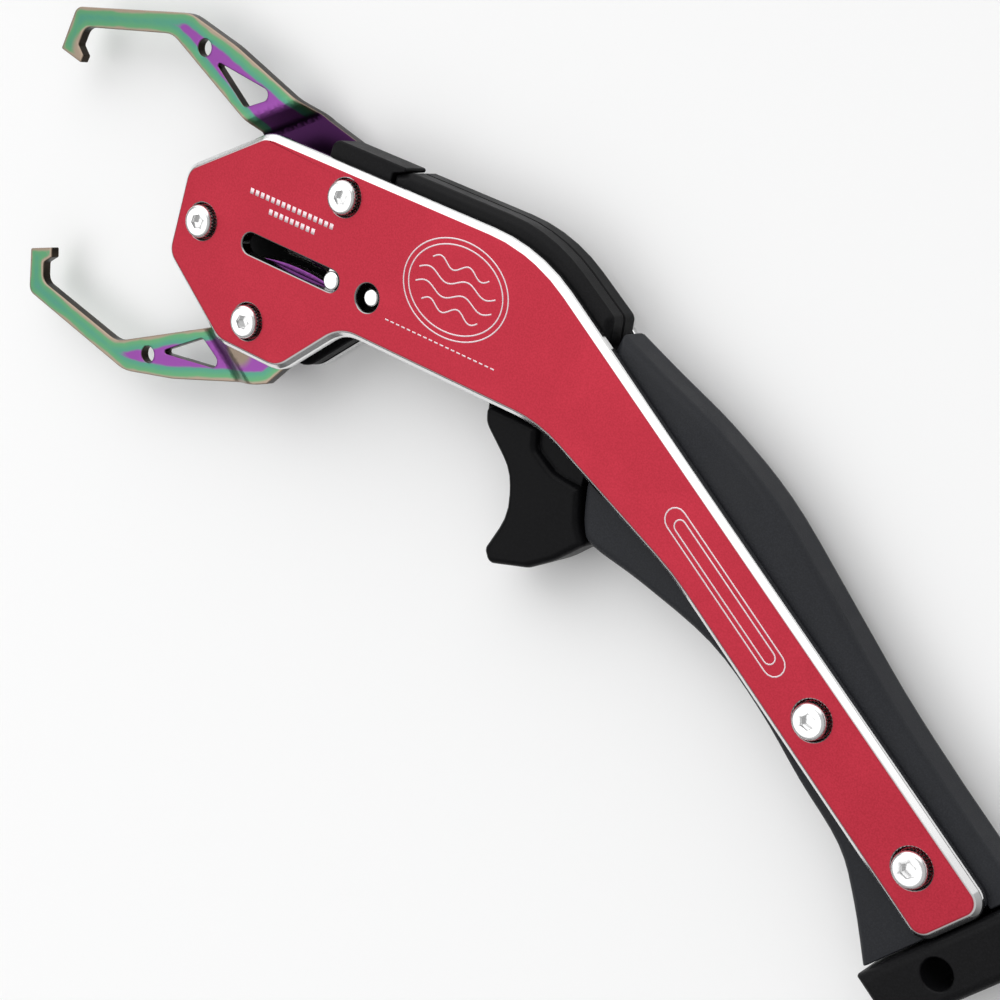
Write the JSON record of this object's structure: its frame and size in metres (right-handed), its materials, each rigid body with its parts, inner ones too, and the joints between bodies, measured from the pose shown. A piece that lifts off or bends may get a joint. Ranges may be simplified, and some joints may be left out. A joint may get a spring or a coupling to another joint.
{
  "type": "fishing pliers",
  "caption": "Pistol-grip fish gripper with two hooked jaws that a trigger opens through a sliding bar between flat side plates.",
  "frame": {"origin": "on the rear plate's outer face, on the head's centre line, 64 mm behind the nose screw", "axes": "+X from the jaws back towards the handle, +Y across the head towards the upper jaw, +Z out of the front plate, so the tool lies on its rear plate"},
  "size_m": [0.2812, 0.1231, 0.0188],
  "materials": {
    "red_anodised": "red anodised face with a fine grain and a bright machined edge",
    "black_moulding": "black glass-filled nylon",
    "trigger_moulding": "black, slightly glossy",
    "grey_elastomer": "dark slate elastomer, fine texture",
    "titanium_colours": "titanium coating in green, purple and gold interference colours",
    "bright_steel": "bright stainless steel",
    "spring_steel": "drawn spring wire"
  },
  "bodies": {
    "frame_body": {"front_plate": "red_anodised", "rear_plate": "red_anodised", "front_body_half": "black_moulding", "rear_body_half": "black_moulding", "upper_stop_block": "black_moulding", "lower_cheek_block": "black_moulding", "upper_pivot_bush": "bright_steel", "lower_pivot_bush": "bright_steel", "nose_spacer": "bright_steel", "neck_dowel": "bright_steel", "handle_sleeve": "bright_steel", "butt_sleeve": "bright_steel", "nose_screw": "bright_steel", "upper_pivot_screw": "bright_steel", "lower_pivot_screw": "bright_steel", "handle_screw": "bright_steel", "butt_screw": "bright_steel", "guide_pin": "bright_steel", "return_spring": "spring_steel", "palm_grip": "grey_elastomer", "finger_grip": "grey_elastomer", "butt_cap": "black_moulding"},
    "slider": {"pull_bar": "bright_steel", "trigger": "trigger_moulding", "trigger_pin_front": "bright_steel", "trigger_pin_rear": "bright_steel", "drive_pin": "bright_steel", "spring_cross_pin": "bright_steel"},
    "upper_jaw_body": {"upper_jaw": "titanium_colours"},
    "lower_jaw_body": {"lower_jaw": "titanium_colours"}
  },
  "joints": [
    {"name": "trigger_slide", "type": "slide", "parent": "frame_body", "child": "slider", "axis": [-1, 0, 0], "range_m": [0, 0.0228], "deforming": ["return_spring"]},
    {"name": "upper_jaw_hinge", "type": "hinge", "parent": "frame_body", "child": "upper_jaw_body", "pos_m": [-0.0286, 0.0176, 0.0085], "axis": [0, 0, 1], "range_deg": [0, 15.5]},
    {"name": "lower_jaw_hinge", "type": "hinge", "parent": "frame_body", "child": "lower_jaw_body", "pos_m": [-0.0454, -0.0161, 0.0085], "axis": [0, 0, 1], "range_deg": [-16.7, 0]}
  ],
  "couplings": [
    {"joint": "upper_jaw_hinge", "follows": "trigger_slide", "rad_per_m": 11.865},
    {"joint": "lower_jaw_hinge", "follows": "trigger_slide", "rad_per_m": -12.783}
  ]
}
